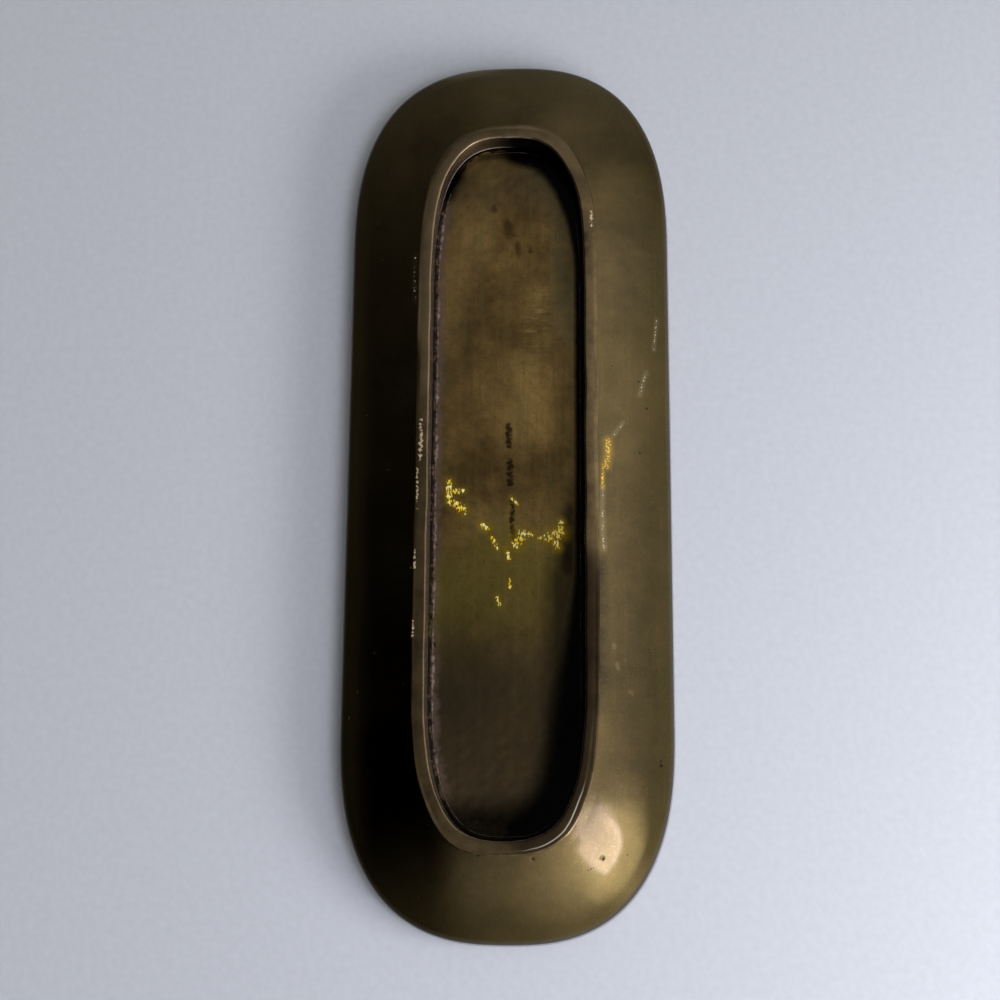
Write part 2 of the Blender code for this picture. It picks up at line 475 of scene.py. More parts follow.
collar_grid = rings([grown(WELL, out) for out in section_out], section_up)
x, y = collar_grid[..., 0], collar_grid[..., 1]
on_lip = np.clip((section_up - lip_top) / FILED_HEIGHT + 1, 0.0, 1.0)[:, None]
filed = 0.05 * wander(x, y, 30.0, 10.0, seed=21) + 0.006 * wander(x, y, 5.0, 2.0, seed=22)
collar_grid[..., :2] *= 1 + (filed / FILED_AT * on_lip)[..., None]
collar_grid[..., 2] += on_lip * 0.010 * wander(x, y, 30.0, 8.0, seed=23)
# The outer edge follows the cast skin, which stands higher at the two ends.
outer = np.clip((section_out - FLUSH_FROM) / (LIP_FLAT - FLUSH_FROM), 0.0, 1.0)[:, None] * (on_lip > 0)
higher_ends = lip_seat(out_heights, 1) - lip_seat(out_heights, 0)
skin_here = skin_share(lip_seat(out_share, 0))
collar_grid[..., 2] += outer * (higher_ends * np.sin(turn) ** 2 + skin_here * lift(x, y))
# The flank goes from 0 to 1 over the groove's inner side, which lies further out at the near end.
out_here = section_out[:, None]
flank = (out_here - GROOVE_START - 0.4 * fade(y, -71.0, -79.0)) / GROOVE_FLANK
on_top = (section_up > lip_edge - EDGE_ALLOWANCE)[:, None]
groove = fade(flank, 0.0, 1.0) * fade(flank, 3.7, 1.1) * on_top
collar_grid[..., 2] -= GROOVE_DEPTH * groove * near_line(x, y, GROOVE_PATH, 5.0)
print(f"the lip's top is {collar_grid[..., 2].max():.2f} mm over the table")

# %% [markdown]
# ## Marks on the lip and the wall
# A cloth reaches the lip but not the wall below it, so the lip is rubbed bright in places, with painted
# glints. The wall is painted black on its right as painted shadow, darker at the far end as painted
# shade, and pale along its foot as a painted highlight. Each kind of mark has its own name, because the
# finish gives it its own colour.

# %% Mark the collar
FLECK_RUNS = [
    # width of the run, then its points, in millimetres
    (0.9, [(-18.7, 12.0), (-18.6, 7.5), (-18.7, 3.0)]),
    (0.6, [(-19.3, 1.0), (-19.2, -8.0)]),
    (0.6, [(-19.6, -17.0), (-19.5, -21.0)]),
    (0.6, [(-19.6, -32.0), (-19.6, -36.0)]),
    (0.8, [(18.7, 60.0), (18.6, 56.6)]),
]
LIP_SPOTS = [
    (0.9, [(17.2, 54.4), (17.2, 53.4)]),
    (0.9, [(17.2, 50.8), (17.2, 49.8)]),
]
# The lip is painted darker along the near half of its right side, as painted shade, but not on its outer
# part at the near end.
browned = fade(x, -8.0, 6.0) * fade(y, -10.0, -26.0)
browned = browned * (1 - 0.7 * fade(out_here, 2.1, 2.7) * fade(y, -38.0, -52.0))
# It is lighter along the far half of its left side and round the far end.
left_wiped = fade(x, -4.0, -12.0) * fade(y, 5.0, 30.0)
far_wiped = 0.6 * fade(y, 66.0, 74.0)
collar_marks = {
    "across": np.broadcast_to(out_here / LIP_WIDTH, x.shape),
    # Rubbed flecks, painted as glints.
    "rubbed_glint": near_any(x, y, FLECK_RUNS),
    # The wall is painted black on the right as painted shadow, and darker at the far end as painted
    # shade.
    "grime_and_shadow": fade(x, -5.0, 2.0),
    "soot_and_shade": fade(y, 60.0, 68.0) * (0.45 + 0.35 * fade(x, -10.0, -2.0)),
    "soil_and_shade": np.maximum(browned, 0.8 * near_any(x, y, LIP_SPOTS)),
    "wiped": np.maximum(left_wiped, far_wiped),
    # The groove's inner flank is painted pale as a highlight line.
    "burnish_highlight": near_line(x, y, [(15.5, -72.0), (9.0, -78.2)], 6.5) * on_top * bell(flank, 0.5, 0.32),
}
collar = grid_object("tray_collar", collar_grid, True, collar_marks)

# %% [markdown]
# ## The floor of the well
# The floor is a flat sheet cut a little larger than the well and soldered on from below. Its rings
# shrink to the centre line. The top has many rings, because the marks on it are kept on its points.

# %% Shape of the floor
FLOOR_FLANGE = 2.5
FLOOR_RINGS = 70
UNDER_RINGS = 6
floor_low, floor_high = span("floor_plate")
FLOOR_EDGE = grown(WELL, COLLAR_WALL + FLOOR_FLANGE)
inset = np.concatenate([
    np.linspace(FLOOR_EDGE[0] / 2, 0.0, UNDER_RINGS),
    np.linspace(0.0, FLOOR_EDGE[0] / 2, FLOOR_RINGS),
])
floor_heights = np.repeat([floor_low[2], floor_high[2]], [UNDER_RINGS, FLOOR_RINGS])
floor_grid = rings([grown(FLOOR_EDGE, -distance) for distance in inset], floor_heights)
x, y = floor_grid[..., 0], floor_grid[..., 1]
top_side = (np.arange(len(inset)) >= UNDER_RINGS)[:, None]
dent = 0.07 * wander(x, y, 70.0, 18.0, seed=31) + 0.004 * wander(x, y, 6.0, 2.0, seed=32)
floor_grid[..., 2] += top_side * dent
wall_distance = np.broadcast_to((inset - COLLAR_WALL - FLOOR_FLANGE)[:, None], x.shape)
print(f"the floor wanders from {dent.min():.2f} to {dent.max():.2f} mm")

# %% [markdown]
# ## Scratches and stains
# What is dropped into a tray scratches its floor, and what drips on it leaves a stain. The largest are
# placed one by one, as runs of points, and the bright scratches are painted as glints. The smallest are
# left to the noise in the finish.

# %% Scratch and stain the floor
BRIGHT_RUNS = [
    # width of the run, then its points, in millimetres
    (1.3, [(-12.8, -0.6), (-12.9, -3.0), (-12.8, -5.0)]),
    (1.0, [(-12.5, -2.7), (-9.9, -2.6)]),
    (1.6, [(-11.6, -5.5), (-9.6, -7.0)]),
    (1.0, [(-5.6, -10.2), (-4.4, -11.2)]),
    (0.8, [(-3.2, -13.2), (-2.2, -15.4)]),
    (0.9, [(-0.4, -15.6), (0.4, -17.8)]),
    (2.0, [(2.0, -14.6), (3.2, -12.6)]),
    (1.1, [(3.8, -12.4), (5.4, -12.4)]),
    (1.0, [(7.0, -13.4), (8.2, -13.2)]),
    (2.1, [(9.2, -13.2), (11.2, -12.2)]),
    (1.1, [(11.6, -11.6), (11.7, -9.8)]),
    (1.2, [(10.4, -14.2), (10.9, -15.4)]),
    (0.6, [(0.6, -22.4), (0.7, -24.2)]),
    (0.8, [(-2.0, -26.3), (-1.6, -27.8)]),
    (0.6, [(0.9, -4.2), (2.2, -5.8)]),
]
DARK_RUNS = [
    (1.1, [(0.2, 12.0), (0.2, 7.3)]),
    (1.2, [(0.5, 4.0), (0.5, -1.2)]),
    (1.0, [(1.0, -5.2), (1.1, -13.5)]),
]
BLOTCHES = [
    (1.9, [(-0.6, 60.0), (0.2, 57.0)]),
    (1.2, [(1.8, 54.6), (2.2, 52.5)]),
    (0.8, [(4.7, 53.6), (4.8, 53.0)]),
    (1.0, [(-3.5, 64.2), (-3.4, 63.0)]),
]
floor_marks = {
    "wall_distance": wall_distance,
    # Bright scratches, painted as glints.
    "rubbed_glint": near_any(x, y, BRIGHT_RUNS),
    "stained": near_any(x, y, DARK_RUNS),
    "blotched": near_any(x, y, BLOTCHES),
    # Something was once rubbed across the sheet in one place.
    "combed": bell(x, 6.0, 3.0) * bell(y, 37.0, 7.0),
}
print(f"{len(BRIGHT_RUNS)} bright scratches, {len(DARK_RUNS)} stains, {len(BLOTCHES)} blotches")

# %% [markdown]
# ## Dirt and painted shade on the floor
# Dust and old polish gather where a cloth can't reach: along the foot of the wall and in the corners.
# The shadow of the right wall and the shade at the near end are painted into the floor as well, and
# they lie thickest along the right, most of all at the near end. The eye sees a dark ramp as even when
# the light that is left falls off as a power.

# %% Dirty and shade the floor
GRIME_POWER = 2.2
# Painted shadow of the right wall: it reaches further and softer towards the near end.
toward_near, toward_far = fade(y, -18.0, -58.0), fade(y, 50.0, 72.0)
reach = 1.9 + 1.9 * toward_far + 4.4 * toward_near
softness = 2.0 + 1.4 * toward_far + 7.0 * toward_near
right_shadow = fade(wall_distance, reach + softness / 2, reach - softness / 2) * fade(x, -5.0, 4.0)
right_shadow = 1 - (1 - right_shadow) ** GRIME_POWER
# Painted shade along the near end.
near_end_shadow = 0.85 * fade(y + WELL[1] / 2, 12.2, 4.2)
# Dark lumps of dirt lie in the far left corner and along the right wall.
corner_lump = near_line(x, y, [(-14.3, 67.0), (-12.2, 71.4)], 2.2)
side_lump = 0.62 * near_line(x, y, [(13.4, -7.0), (12.8, -10.0), (13.4, -20.0)], 1.7)
floor_marks["grime_and_shadow"] = np.max([right_shadow, near_end_shadow, corner_lump, side_lump], axis=0)
# A pinkish crust creeps in from the left, and a grey-green film lies along the right.
crust = fade(x, 4.0, -6.0) * fade(y, 70.0, 60.0) * (1 - 0.7 * bell(y, -32.0, 14.0))
floor_marks["crust"] = crust * (1 - 0.8 * fade(y, -62.0, -72.0))
floor_marks["film"] = fade(x, 1.0, 8.0) * fade(wall_distance, 9.0, 5.0) * fade(y, 26.0, 38.0)
# A painted brown shade reaches further in from the right wall.
shade_reach = 8.5 + 3.5 * fade(y, -5.0, -25.0) + 3.0 * bell(y, 22.0, 12.0)
shade_depth = 0.40 + 0.60 * fade(y, 14.0, -12.0) + 0.45 * fade(y, 40.0, 52.0)
shade = fade(x, -2.0, 6.0) * fade(wall_distance, shade_reach, shade_reach - 7.0)
floor_marks["shade"] = shade * shade_depth
# Below the bright scratches the sheet is a yellower green, and nearer still it is darkened with painted
# shade. The far end is darker too, and the left side has painted shade.
floor_marks["olive"] = fade(y + 0.5 * np.abs(x), -2.0, -16.0) * fade(y, -48.0, -24.0)
far_darkening = 0.6 * fade(y, 56.0, 70.0) * (1 - near_line(x, y, [(-9.6, 74.0), (-6.0, 71.5)], 3.0))
left_shade = 0.25 * fade(x, -3.0, -9.0) * fade(y, 10.0, 30.0)
floor_marks["soot_and_shade"] = np.max([fade(y, -22.0, -48.0), far_darkening, left_shade], axis=0)
floor = grid_object("well_floor", floor_grid, False, floor_marks)

# %% [markdown]
# ## Solder
# Solder runs into a seam and stands up in it unevenly, thick in one place and almost gone in the
# next. A bead is a small round section carried round the well, with a radius that wanders.

# %% Shape of a bead
BEAD_SIDES = 12
THINNEST, THICKEST = 0.25, 1.8


def solder_bead(name, path, height, radius, wandering, seed, left=lambda px, py: 1.0):
    """Bead along an outline: a circle carried round it, its radius times one plus a wandering.

    Left gives how much of the radius is left at each place along the path.
    """
    around = np.linspace(0.0, 2 * math.pi, BEAD_SIDES, endpoint=False)[:, None]
    base = rings([path] * BEAD_SIDES, np.full(BEAD_SIDES, height))
    px, py = base[0, :, 0], base[0, :, 1]
    swell = 0.9 * wander(px, py, 18.0, 3.5, seed) + 0.3 * wander(px, py, 3.0, 1.4, seed + 1)
    size = radius * np.clip(1 + wandering * swell, THINNEST, THICKEST) * left(px, py)
    outward = rings([grown(path, 1.0)] * BEAD_SIDES, np.full(BEAD_SIDES, height)) - base
    grid = base + outward * (size * np.cos(around))[..., None]
    grid[..., 2] += size * np.sin(around)
    return grid_object(name, grid, True)


def worn_away(px, py):
    """Share of the floor's bead that is left: most on the left, little at the far and near ends."""
    ends = (1 - 0.9 * fade(py, 56.0, 68.0)) * (1 - 0.9 * fade(py, -60.0, -72.0))
    return ends * (1 - 0.9 * fade(px, 1.0, 10.0))


# %% Lay the beads
FLOOR_BEAD_INSET, FLOOR_BEAD_RISE = 0.95, 0.10
COLLAR_BEAD = 0.6
BASE_BEAD, BASE_BEAD_SLACK = 0.35, 0.02
floor_bead = solder_bead(
    "floor_seam_solder", grown(WELL, -FLOOR_BEAD_INSET), floor_high[2] + FLOOR_BEAD_RISE,
    radius=0.36, wandering=0.75, seed=41, left=worn_away,
)
low, high = span("collar_solder")
collar_bead = solder_bead(
    "collar_seam_solder", grown(WELL, high[0] - WELL[0] / 2 - (high[2] - low[2]) / 2),
    (low[2] + high[2]) / 2, radius=COLLAR_BEAD, wandering=0.15, seed=43,
)
low, high = span("base_solder")
base_bead = solder_bead(
    "base_seam_solder", grown(TRAY, high[0] - TRAY[0] / 2 - BASE_BEAD),
    (low[2] + high[2]) / 2, radius=BASE_BEAD - BASE_BEAD_SLACK, wandering=0.10, seed=45,
)

# %% [markdown]
# ## The felt
# The pad under the base plate is pressed wool felt cut to the foot. Cut felt has a soft edge, so the
# edge is a half round, and its surface is a little lumpy. It lies flat, so no simulation is needed.

# %% Make the felt
FELT_RINGS = 24
RIM_POINTS = 9
FELT_LUMP = 0.03
felt_low, felt_high = span("base_felt")
FELT = grown(TRAY, felt_high[0] - TRAY[0] / 2)
felt_half = (felt_high[2] - felt_low[2]) / 2
rim = np.linspace(-math.pi / 2, math.pi / 2, RIM_POINTS)
felt_inset = np.concatenate([
    np.linspace(FELT[0] / 2, felt_half, FELT_RINGS),
    felt_half * (1 - np.cos(rim))[1:-1],
    np.linspace(felt_half, FELT[0] / 2, FELT_RINGS),
])
felt_up = np.concatenate([
    np.full(FELT_RINGS, -1.0),
    np.sin(rim)[1:-1],
    np.full(FELT_RINGS, 1.0),
])
felt_grid = rings([grown(FELT, -distance) for distance in felt_inset], felt_half * (1 + felt_up))
x, y = felt_grid[..., 0], felt_grid[..., 1]
lump = FELT_LUMP * np.abs(wander(x, y, 9.0, 2.0, seed=51))
felt_grid[..., 2] -= np.sign(felt_up)[:, None] * lump
felt = grid_object("felt_pad", felt_grid, False)

# %% [markdown]
# ## Finishes: tools
# Colours are written as the hex values that a screen shows and turned to linear light by one
# function. One small function adds a node with its settings and links. A finish is built as a painter
# would: a first coat, then further coats that each cover a share of what is below. Every pattern reads
# Object coordinates scaled to millimetres, so a grain of 0.3 mm is written as 1 / 0.3.

# %% Colour and node helpers
# Mix and Map Range have sockets with the same name, so theirs are called by number.
FACTOR, UNDER, OVER, MIXED = 0, 6, 7, 2
VALUE, LOW, HIGH, AT_LOW, AT_HIGH = range(5)


def colour(code):
    """Linear RGBA of an sRGB hex value such as 8A7650."""
    srgb = np.array([int(code[i:i + 2], 16) for i in (0, 2, 4)]) / 255
    linear = np.where(srgb <= 0.04045, srgb / 12.92, ((srgb + 0.055) / 1.055) ** 2.4)
    return (*linear.tolist(), 1.0)


def wire(tree, node, inputs):
    """Give each input of a node its value, or link it where the value is another node's socket."""
    for name, value in inputs.items():
        if isinstance(value, bpy.types.NodeSocket):
            tree.links.new(value, node.inputs[name])
        else:
            node.inputs[name].default_value = value


def add(tree, kind, inputs, out=0, **settings):
    """New shader node of a kind, with its inputs and settings. Gives back one of its outputs."""
    node = tree.nodes.new("ShaderNode" + kind)
    for name, value in settings.items():
        setattr(node, name, value)
    wire(tree, node, inputs)
    return node.outputs[out]


def painted(tree, first, coats):
    """Colour of a first coat with others over it, each given as its share of cover and its colour.

    A colour is a hex value, or the socket of a colour that is already mixed.
    """
    skin = colour(first)
    for share, over in coats:
        if isinstance(over, str):
            over = colour(over)
        skin = add(tree, "Mix", {FACTOR: share, UNDER: skin, OVER: over}, MIXED, data_type="RGBA")
    return skin


def new_finish(name, marks=()):
    """Material with its tree and Principled shader, its place on the piece in mm, and its marks."""
    finish = bpy.data.materials.new(name)
    finish.use_nodes = True
    tree = finish.node_tree
    place = add(tree, "TexCoord", {}, "Object")
    in_mm = add(tree, "VectorMath", {0: place, "Scale": 1 / MM}, operation="SCALE")
    sockets = {mark: add(tree, "Attribute", {}, "Fac", attribute_name=mark) for mark in marks}
    return finish, tree, tree.nodes["Principled BSDF"], in_mm, sockets


# %% [markdown]
# ## Cast brass with a dark patina
# The shoulder is cast brass that has gone brown with age: a thin oxide over metal, satin from years
# of wiping. The eye sees cloudy brown and olive patches about 15 mm across, yellower towards the
# outside, faint lengthwise rubbing lines, specks of dirt in the pores, a grey film on the foot that is
# painted as the table's reflection, painted shade beside the lip, and bright metal in a few scratches
# beside the lip, painted as glints. A thin clear coat stands for the wax of old polish.

# %% Mouths of the pits
PIT_MOUTHS = [
    # x, y and radius in millimetres
    (20.3, -81.6, 0.45),
    (17.4, -83.9, 0.20),
    (17.9, -83.6, 0.24),
    (18.4, -83.4, 0.18),
    (6.0, -81.7, 0.38),
    (25.4, -80.7, 0.20),
    (32.7, -62.3, 0.50),
    (32.6, -61.4, 0.30),
    (-5.2, -81.0, 0.45),
]


def pit_mouths(tree, in_mm):
    """Share of dirt in the mouths of the pits, which are too sharp for the mesh.

    By distance in plan it is 0.9 up to half of a pit's radius, and falls to 0 at the radius.
    """
    plan = add(tree, "VectorMath", {0: in_mm, 1: (1.0, 1.0, 0.0)}, operation="MULTIPLY")
    mouths = 0.0
    for px, py, radius in PIT_MOUTHS:
        away = add(tree, "VectorMath", {0: plan, 1: (px, py, 0.0)}, "Value", operation="DISTANCE")
        limits = {VALUE: away, LOW: 0.5 * radius, HIGH: radius, AT_LOW: 0.9, AT_HIGH: 0.0}
        mouth = add(tree, "MapRange", limits)
        mouths = add(tree, "Math", {0: mouths, 1: mouth}, operation="MAXIMUM")
    return mouths


# %% Finish of the shoulder
SCRATCHES = (
    # mark, colour, cover of the painted glow round it, and how rare its painted glint flecks are
    ("gold_glint", "CEA440", 0.28, 0.45),
    ("pale", "D8CEA6", 0.10, 0.57),
)


def cast_brass():
    """Brown metal under clouds, smudges, lines, dirt, painted shade and a foot film painted as the
    table's reflection, with scratches painted as glints and a clear coat.
    """
    finish, tree, shader, in_mm, mark = new_finish("cast_brass_dark_patina", shoulder_marks)
    across = mark["across"]
    cloud = add(tree, "TexNoise", {"Vector": in_mm, "Scale": 1 / 15, "Detail": 6.0, "Roughness": 0.62})
    smudge = add(tree, "TexNoise", {"Vector": in_mm, "Scale": 1 / 4.5, "Detail": 4.0, "Roughness": 0.6})
    along = add(tree, "VectorMath", {0: in_mm, 1: (1 / 0.5, 1 / 28.0, 1 / 0.5)}, operation="MULTIPLY")
    rub = add(tree, "TexNoise", {"Vector": along, "Scale": 1.0, "Detail": 3.0})
    dust = add(tree, "TexNoise", {"Vector": in_mm, "Scale": 1 / 0.45, "Detail": 1.0})
    grit = add(tree, "TexNoise", {"Vector": in_mm, "Scale": 1 / 0.38, "Detail": 1.0})
    grain = add(tree, "TexNoise", {"Vector": in_mm, "Scale": 1 / 0.30, "Detail": 2.0})

    cloudy = add(tree, "MapRange", {VALUE: cloud, LOW: 0.36, HIGH: 0.66})
    smudged = add(tree, "MapRange", {VALUE: smudge, LOW: 0.52, HIGH: 0.72, AT_HIGH: 0.55})
    outwards = add(tree, "MapRange", {VALUE: across, LOW: 0.12, HIGH: 0.55, AT_LOW: 0.55, AT_HIGH: 0.0})
    lines = add(tree, "MapRange", {VALUE: rub, LOW: 0.54, HIGH: 0.74, AT_HIGH: 0.16})
    # The foot's grey film is painted as the reflection of the table.
    foot_dust_and_reflection = add(tree, "MapRange", {VALUE: across, LOW: 0.03, HIGH: 0.075, AT_LOW: 0.6, AT_HIGH: 0.0})
    dusty = add(tree, "MapRange", {VALUE: dust, LOW: 0.60, HIGH: 0.76, AT_HIGH: 0.15})
    # Pores lie about 3 mm apart, but only those in a smudge hold dirt.
    speck = add(tree, "TexVoronoi", {"Vector": in_mm, "Scale": 1 / 3.2, "Randomness": 1.0})
    pore = add(tree, "MapRange", {VALUE: speck, LOW: 0.05, HIGH: 0.10, AT_LOW: 1.0, AT_HIGH: 0.0})
    picked = add(tree, "MapRange", {VALUE: smudge, LOW: 0.56, HIGH: 0.62})
    pores = add(tree, "Math", {0: pore, 1: picked}, operation="MULTIPLY")
    # Painted shade darkens the shoulder beside the lip and along the right.
    darkening = add(tree, "MapRange", {VALUE: smudge, LOW: 0.3, HIGH: 0.6, AT_LOW: 0.6, AT_HIGH: 1.0})
    patchy = add(tree, "Math", {0: mark["soil_and_shade"], 1: darkening}, operation="MULTIPLY")

    coats = [
        (cloudy, "6F5D38"),
        (smudged, "5C532B"),
        (outwards, "54471E"),
        (lines, "806D44"),
        (pores, "1E170E"),
        (patchy, "2A2216"),
        (foot_dust_and_reflection, "383A46"),
        (dusty, "9A8A60"),
        (pit_mouths(tree, in_mm), "2A1E08"),
    ]
    # Torn metal and dust scatter light, so they show from every side, as a matt colour does: the flecks
    # are painted glints, and the foot carries a painted reflection.
    matt = foot_dust_and_reflection
    for name, code, cover, rare in SCRATCHES:
        painted_glow = add(tree, "MapRange", {VALUE: mark[name], LOW: 0.15, HIGH: 1.0, AT_HIGH: cover})
        broken = add(tree, "Math", {0: mark[name], 1: grit}, operation="MULTIPLY")
        fleck = add(tree, "MapRange", {VALUE: broken, LOW: rare, HIGH: rare + 0.12})
        coats += [(painted_glow, code), (fleck, code)]
        matt = add(tree, "Math", {0: matt, 1: fleck}, operation="MAXIMUM")

    fine = add(tree, "Bump", {"Height": grain, "Strength": 0.08, "Distance": 0.02 * MM})
    lined = add(tree, "Bump", {"Height": rub, "Strength": 0.05, "Distance": 0.03 * MM, "Normal": fine})
    hollow = {"Height": pores, "Strength": 0.8, "Distance": 0.10 * MM, "Normal": lined}
    satin = {VALUE: smudge, LOW: 0.3, HIGH: 0.75, AT_LOW: 0.10, AT_HIGH: 0.16}
    wire(tree, shader, {
        "Base Color": painted(tree, "57492A", coats),
        "Metallic": add(tree, "MapRange", {VALUE: matt, AT_LOW: 1.0, AT_HIGH: 0.35}),
        "Roughness": add(tree, "MapRange", satin),
        "Normal": add(tree, "Bump", hollow, invert=True),
        "Coat Weight": 0.30,
        "Coat Roughness": 0.08,
    })
    return finish


# %% [markdown]
# ## Rubbed brass
# Fingers and cloths reach the lip first, so the collar is the same brass with less patina: greyer and
# pinker on its flat and brighter on its inner edge. Its right wall is painted black as painted shadow,
# its far wall darker as painted shade, and the foot of the wall pale as a painted highlight. Heights and
# the way across the lip tell the finish where the edge, the wall and its foot are.


# %% Finish of the collar
def rubbed_brass():
    """Greyer metal with a bright inner edge, a dark wall with painted shadow and shade, a foot of the
    wall painted pale as a highlight, flecks painted as glints and a painted highlight line.
    """
    finish, tree, shader, in_mm, mark = new_finish("rubbed_brass", collar_marks)
    across, height = mark["across"], add(tree, "SeparateXYZ", {0: in_mm}, "Z")
    cloud = add(tree, "TexNoise", {"Vector": in_mm, "Scale": 1 / 6.0, "Detail": 5.0, "Roughness": 0.65})
    grit = add(tree, "TexNoise", {"Vector": in_mm, "Scale": 1 / 0.7, "Detail": 3.0})
    cloudy = add(tree, "MapRange", {VALUE: cloud, LOW: 0.35, HIGH: 0.65})
    wiping = add(tree, "Math", {0: mark["wiped"], 1: 0.30}, operation="MULTIPLY")
    darkening = add(tree, "Math", {0: mark["soil_and_shade"], 1: 0.80}, operation="MULTIPLY")
    shares = {}
    for name, value, low, high, at_low, at_high in (
        ("inner", across, 0.02, 0.10, 1.0, 0.0),
        ("wall_side", across, 0.14, 0.20, 1.0, 0.0),
        ("edge_height", height, lip_top - 1.0, lip_top - 0.4, 0.0, 1.0),
        ("under_edge", height, lip_top - 0.5, lip_top - 0.2, 1.0, 0.0),
        ("wall", height, lip_top - 1.6, lip_top - 0.8, 1.0, 0.0),
        ("foot", height, wall_foot + 0.45, wall_foot + 0.75, 1.0, 0.0),
        ("above_foot", height, wall_foot + 1.0, wall_foot + 1.5, 0.0, 1.0),
        ("worn", grit, 0.35, 0.6, 0.3, 1.0),
    ):
        limits = {VALUE: value, LOW: low, HIGH: high, AT_LOW: at_low, AT_HIGH: at_high}
        shares[name] = add(tree, "MapRange", limits)
    for name, first, second, third in (
        ("keen", shares["inner"], shares["edge_height"], shares["worn"]),
        ("dark_right_wall", mark["grime_and_shadow"], shares["under_edge"], shares["wall_side"]),
        ("dark_far_wall", mark["soot_and_shade"], shares["above_foot"], shares["wall"]),
    ):
        both = add(tree, "Math", {0: first, 1: second}, operation="MULTIPLY")
        shares[name] = add(tree, "Math", {0: both, 1: third}, operation="MULTIPLY")
    # Rubbed flecks are painted as glints.
    broken = add(tree, "Math", {0: mark["rubbed_glint"], 1: grit}, operation="MULTIPLY")
    fleck = add(tree, "MapRange", {VALUE: broken, LOW: 0.42, HIGH: 0.52})
    # The burnished line is a painted highlight.
    shine = add(tree, "MapRange", {VALUE: mark["burnish_highlight"], LOW: 0.25, HIGH: 1.0, AT_HIGH: 0.8})
    # The pale foot of the wall is a painted highlight, the black right wall is painted shadow, and the
    # darker far wall is painted shade.
    skin = painted(tree, "564934", [
        (cloudy, "766446"),
        (wiping, "A48E6E"),
        (darkening, "221A12"),
        (shares["keen"], "988A7C"),
        (shares["wall"], "4C3E36"),
        (shares["foot"], "C8BCAC"),
        (shares["dark_right_wall"], "060504"),
        (shares["dark_far_wall"], "0A0704"),
        (fleck, "C8B08C"),
        (shine, "C2B6A6"),
    ])
    matt = add(tree, "Math", {0: fleck, 1: shine}, operation="MAXIMUM")
    matt = add(tree, "Math", {0: matt, 1: shares["wall"]}, operation="MAXIMUM")
    satin = {VALUE: grit, LOW: 0.3, HIGH: 0.7, AT_LOW: 0.12, AT_HIGH: 0.20}
    wire(tree, shader, {
        "Base Color": skin,
        "Metallic": add(tree, "MapRange", {VALUE: matt, AT_LOW: 1.0, AT_HIGH: 0.40}),
        "Roughness": add(tree, "MapRange", satin),
        "Normal": add(tree, "Bump", {"Height": grit, "Strength": 0.15, "Distance": 0.03 * MM}),
    })
    return finish


# %% [markdown]
# ## Stained sheet brass
# The floor is rolled sheet, scratched lengthwise by what was dropped into it. It is browner and duller
# than the shoulder, stained dark along the middle, and a pinkish grey crust of old polish and flux
# creeps in from the wall. Painted shadow and shade darken it along the right wall and towards the near
# end. A few fresh scratches are painted as yellow glints, with a painted golden glow round each.


# %% Patterns of the sheet
def sheet_patterns(tree, in_mm):
    """Noises that are longer one way than the other, by their sizes across and along in millimetres."""
    pattern = {}
    for name, wide, long, detail in (
        ("streak", 1.1, 26.0, 5.0),
        ("hatch", 5.0, 0.45, 2.0),
        ("chatter", 1.2, 0.8, 3.0),
        ("grit", 0.40, 0.70, 1.0),
    ):
        sized = add(tree, "VectorMath", {0: in_mm, 1: (1 / wide, 1 / long, 1.0)}, operation="MULTIPLY")
        pattern[name] = add(tree, "TexNoise", {"Vector": sized, "Scale": 1.0, "Detail": detail})
    return pattern


